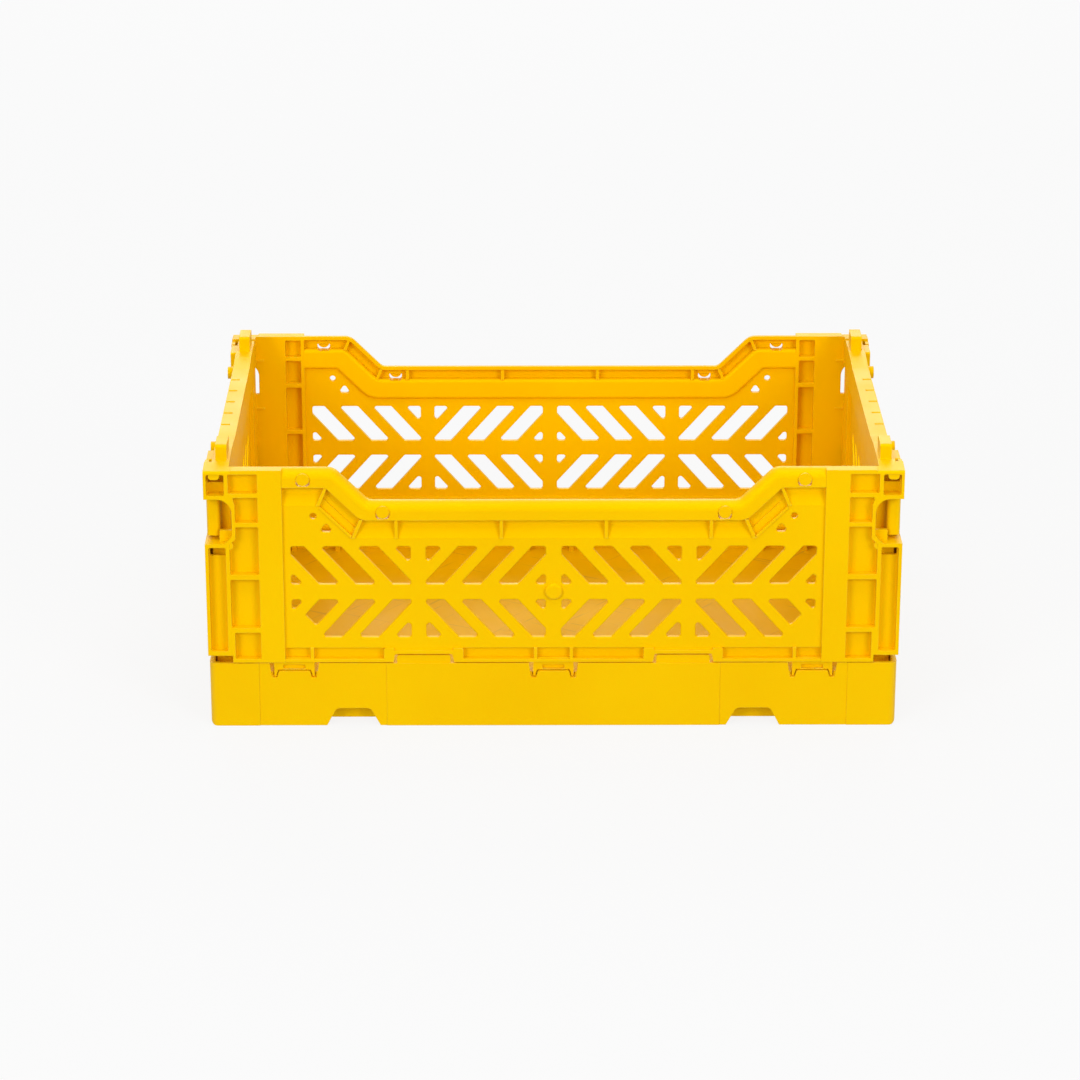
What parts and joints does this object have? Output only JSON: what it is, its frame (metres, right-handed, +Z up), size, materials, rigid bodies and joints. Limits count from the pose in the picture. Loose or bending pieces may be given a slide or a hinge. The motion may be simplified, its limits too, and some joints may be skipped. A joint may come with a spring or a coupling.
{
  "type": "folding stacking crate",
  "caption": "Small open-topped folding plastic crate with slotted walls, a dipped rim on both long sides and corner lugs, for storing, carrying and stacking small goods.",
  "frame": {"origin": "middle of the face that the crate stands on", "axes": "+X along the crate's length, +Y from front to back, +Z up"},
  "size_m": [0.266, 0.172, 0.111],
  "materials": {
    "base_plastic": "satin yellow polypropylene",
    "wall_plastic": "satin yellow polypropylene",
    "latch_plastic": "satin yellow polypropylene"
  },
  "bodies": {
    "root": {"base_tray": "base_plastic", "front_side_wall": "wall_plastic", "back_side_wall": "wall_plastic"},
    "right_end": {"right_end_wall": "wall_plastic"},
    "left_end": {"left_end_wall": "wall_plastic"},
    "right_back_latch": {"right_back_latch_bar": "latch_plastic"},
    "right_front_latch": {"right_front_latch_bar": "latch_plastic"},
    "left_front_latch": {"left_front_latch_bar": "latch_plastic"},
    "left_back_latch": {"left_back_latch_bar": "latch_plastic"}
  },
  "joints": [
    {"name": "right_end_fold", "type": "hinge", "parent": "root", "child": "right_end", "pos_m": [0.127, 0, 0.014], "axis": [0, -1, 0], "range_deg": [0, 90]},
    {"name": "left_end_fold", "type": "hinge", "parent": "root", "child": "left_end", "pos_m": [-0.127, 0, 0.014], "axis": [0, 1, 0], "range_deg": [0, 90]},
    {"name": "right_back_latch_press", "type": "slide", "parent": "right_end", "child": "right_back_latch", "axis": [0, -1, 0], "range_m": [0, 0.0014], "stiffness_N_per_m": 1500},
    {"name": "right_front_latch_press", "type": "slide", "parent": "right_end", "child": "right_front_latch", "axis": [0, 1, 0], "range_m": [0, 0.0014], "stiffness_N_per_m": 1500},
    {"name": "left_front_latch_press", "type": "slide", "parent": "left_end", "child": "left_front_latch", "axis": [0, 1, 0], "range_m": [0, 0.0014], "stiffness_N_per_m": 1500},
    {"name": "left_back_latch_press", "type": "slide", "parent": "left_end", "child": "left_back_latch", "axis": [0, -1, 0], "range_m": [0, 0.0014], "stiffness_N_per_m": 1500}
  ]
}
